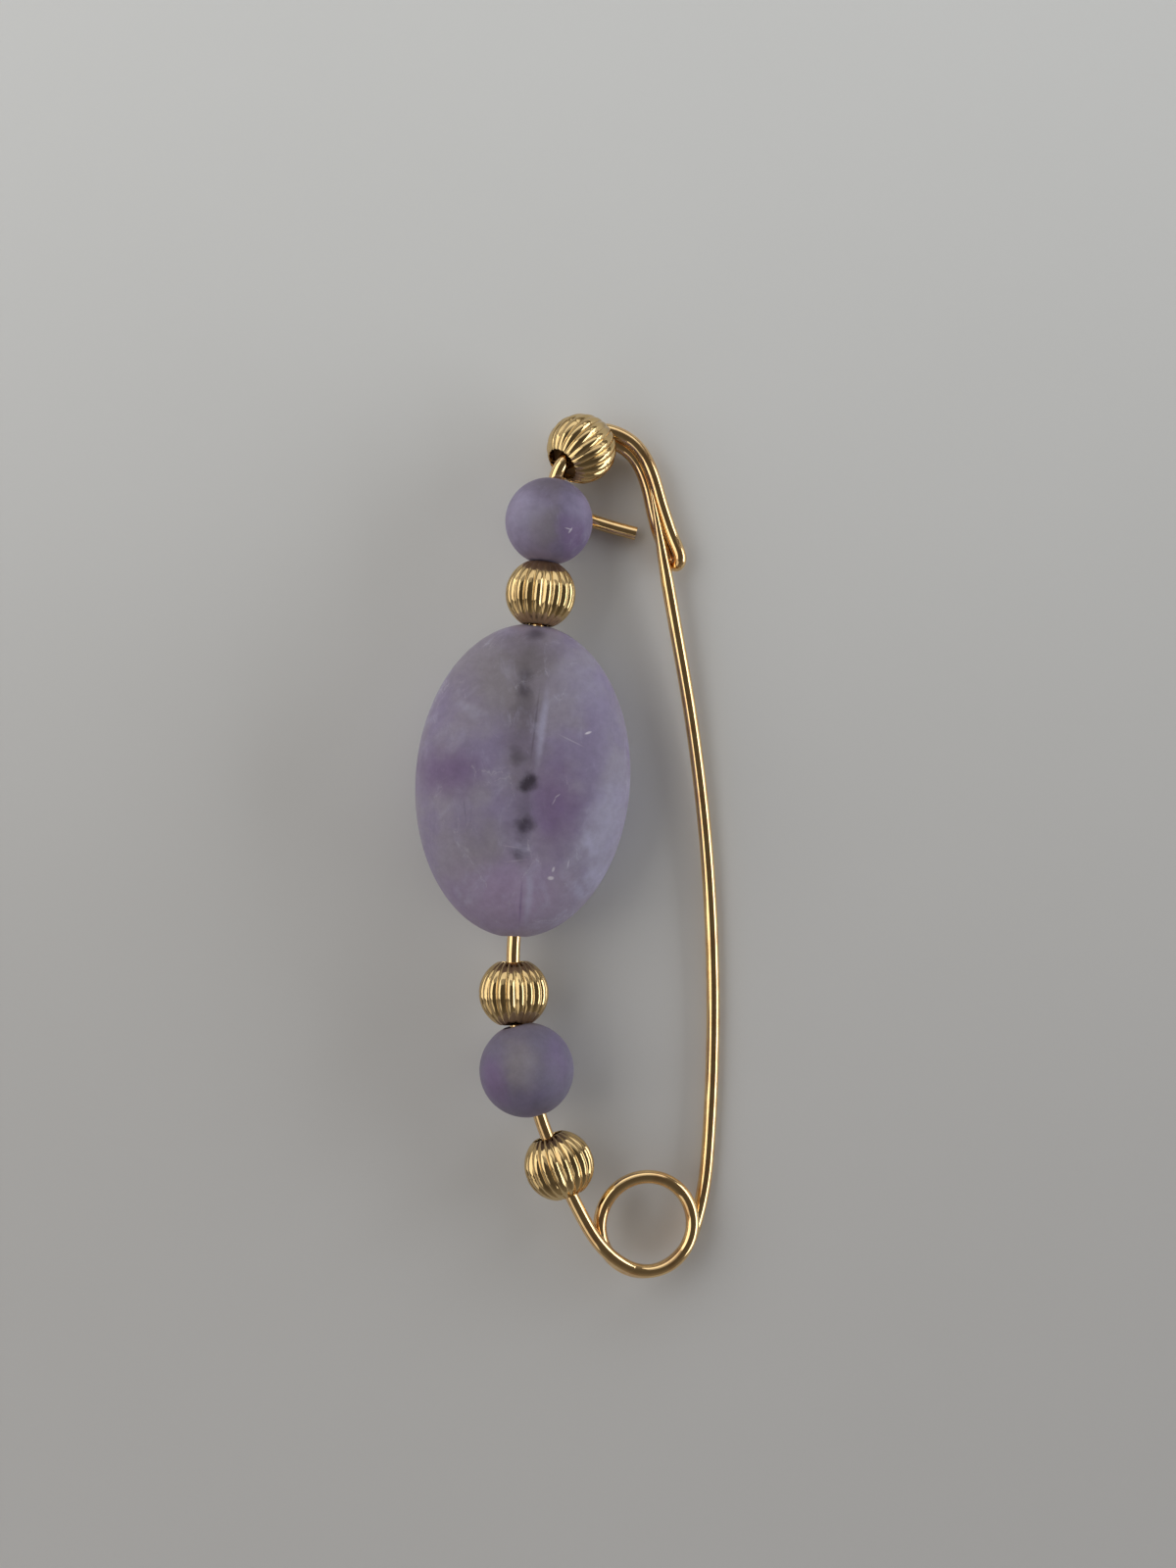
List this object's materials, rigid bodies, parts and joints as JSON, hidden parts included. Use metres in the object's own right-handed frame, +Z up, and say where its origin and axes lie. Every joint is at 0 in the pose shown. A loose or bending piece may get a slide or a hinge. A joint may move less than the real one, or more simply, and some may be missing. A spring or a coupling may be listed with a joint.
{
  "type": "safety pin brooch",
  "caption": "Gold wire safety pin brooch with a coil spring, a bent wire hook, ribbed gold beads and frosted lavender stone beads threaded on its front bar.",
  "frame": {"origin": "middle of the lying pin's footprint, on the table", "axes": "+Y runs along the pin from the coil to the hook, +X across it from the beads to the needle, +Z up from the table"},
  "size_m": [0.0179, 0.051, 0.0065],
  "materials": {
    "gold_wire": "polished gold wire, warm",
    "ribbed_gold": "polished ribbed gold sheet",
    "round_stone": "frosted lavender quartz",
    "oval_stone": "semi-polished cloudy lavender quartz with pale flaws"
  },
  "bodies": {
    "bar": {"front_bar": "gold_wire", "spring_coil": "gold_wire", "hook_catch": "gold_wire", "wire_tail": "gold_wire", "ribbed_bead_1": "ribbed_gold", "ribbed_bead_2": "ribbed_gold", "ribbed_bead_3": "ribbed_gold", "ribbed_bead_4": "ribbed_gold", "round_bead_upper": "round_stone", "round_bead_lower": "round_stone", "oval_bead": "oval_stone"},
    "needle": {"needle": "gold_wire"}
  },
  "joints": [
    {"name": "needle_hinge", "type": "hinge", "parent": "bar", "child": "needle", "pos_m": [0.00823, -0.01851, 0.00044], "axis": [0.7162, 0, -0.6979], "range_deg": [0, 30], "stiffness_Nm_per_rad": 0.01, "springref_deg": -5.73}
  ]
}
